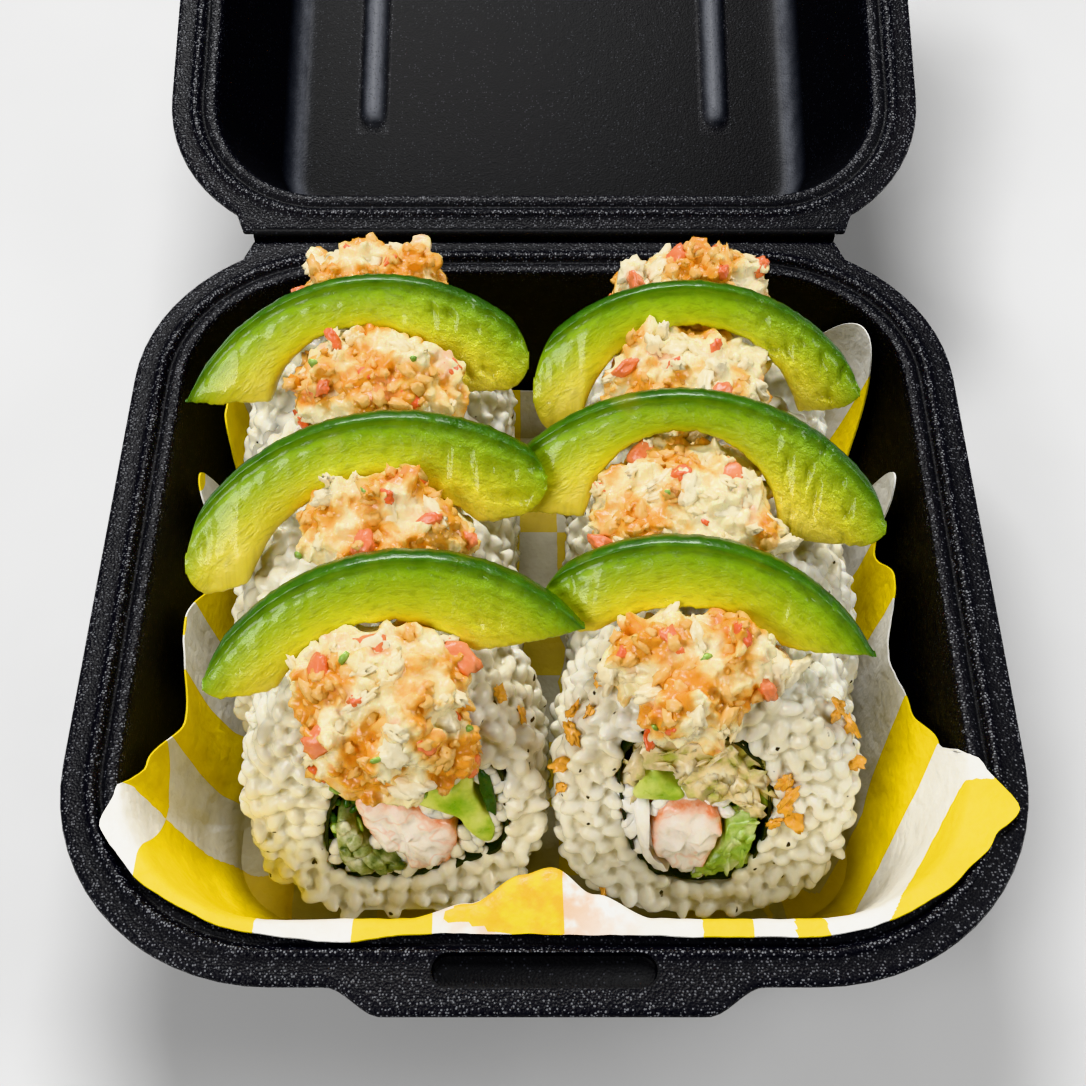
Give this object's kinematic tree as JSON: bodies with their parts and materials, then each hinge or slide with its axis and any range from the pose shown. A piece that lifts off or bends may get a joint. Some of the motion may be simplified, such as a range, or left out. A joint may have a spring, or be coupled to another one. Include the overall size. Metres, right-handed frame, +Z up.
{
  "type": "takeaway box of uramaki sushi",
  "caption": "Open hinged foam takeaway box, lined with paper, that holds uramaki rolls under chopped crab salad and avocado slices.",
  "frame": {"origin": "on the table, under the middle of the box's base", "axes": "+X to the eater's right, +Y back to the hinge, +Z up"},
  "size_m": [0.152, 0.3072, 0.0836],
  "materials": {
    "foam": "black polystyrene foam with a fine beaded skin",
    "paper": "white greaseproof paper with a yellow check",
    "rice": "moist cooked rice, slightly see-through",
    "nori": "dark seaweed sheet",
    "prawn": "cooked prawn, white with pink streaks",
    "avocado": "moist flesh, green at the rim and yellow at the pit",
    "cucumber": "moist pale green flesh with a darker skin",
    "greens": "dark cucumber skin",
    "cream": "white cream cheese",
    "flakes": "chopped filling in a pale sauce",
    "topping": "chopped crab sticks and fried crumbs in a creamy coat"
  },
  "bodies": {
    "tray": {"box_base": "foam", "paper_liner": "paper", "rice_left_1": "rice", "nori_left_1": "nori", "avocado_left_1": "avocado", "prawn_left_1": "prawn", "cucumber_left_1": "cucumber", "greens_left_1": "greens", "rice_left_2": "rice", "rice_left_3": "rice", "rice_left_4": "rice", "nori_left_4": "nori", "avocado_left_4": "avocado", "prawn_left_4": "prawn", "cucumber_left_4": "cucumber", "greens_left_4": "greens", "avocado_slice_left_front": "avocado", "avocado_slice_left_middle": "avocado", "avocado_slice_left_back": "avocado", "topping_left_1": "topping", "topping_left_2": "topping", "topping_left_3": "topping", "topping_left_4": "topping", "rice_right_1": "rice", "nori_right_1": "nori", "avocado_right_1": "avocado", "prawn_right_1": "prawn", "cream_right_1": "cream", "cucumber_right_1": "cucumber", "flakes_right_1": "flakes", "rice_right_2": "rice", "rice_right_3": "rice", "rice_right_4": "rice", "nori_right_4": "nori", "avocado_right_4": "avocado", "prawn_right_4": "prawn", "cream_right_4": "cream", "cucumber_right_4": "cucumber", "flakes_right_4": "flakes", "avocado_slice_right_front": "avocado", "avocado_slice_right_middle": "avocado", "avocado_slice_right_back": "avocado", "topping_right_1": "topping", "topping_right_2": "topping", "topping_right_3": "topping", "topping_right_4": "topping"},
    "lid": {"box_lid": "foam"}
  },
  "joints": [
    {"name": "lid_hinge", "type": "hinge", "parent": "tray", "child": "lid", "pos_m": [0, 0.0763, 0.038], "axis": [1, 0, 0], "range_deg": [-17, 163]}
  ]
}
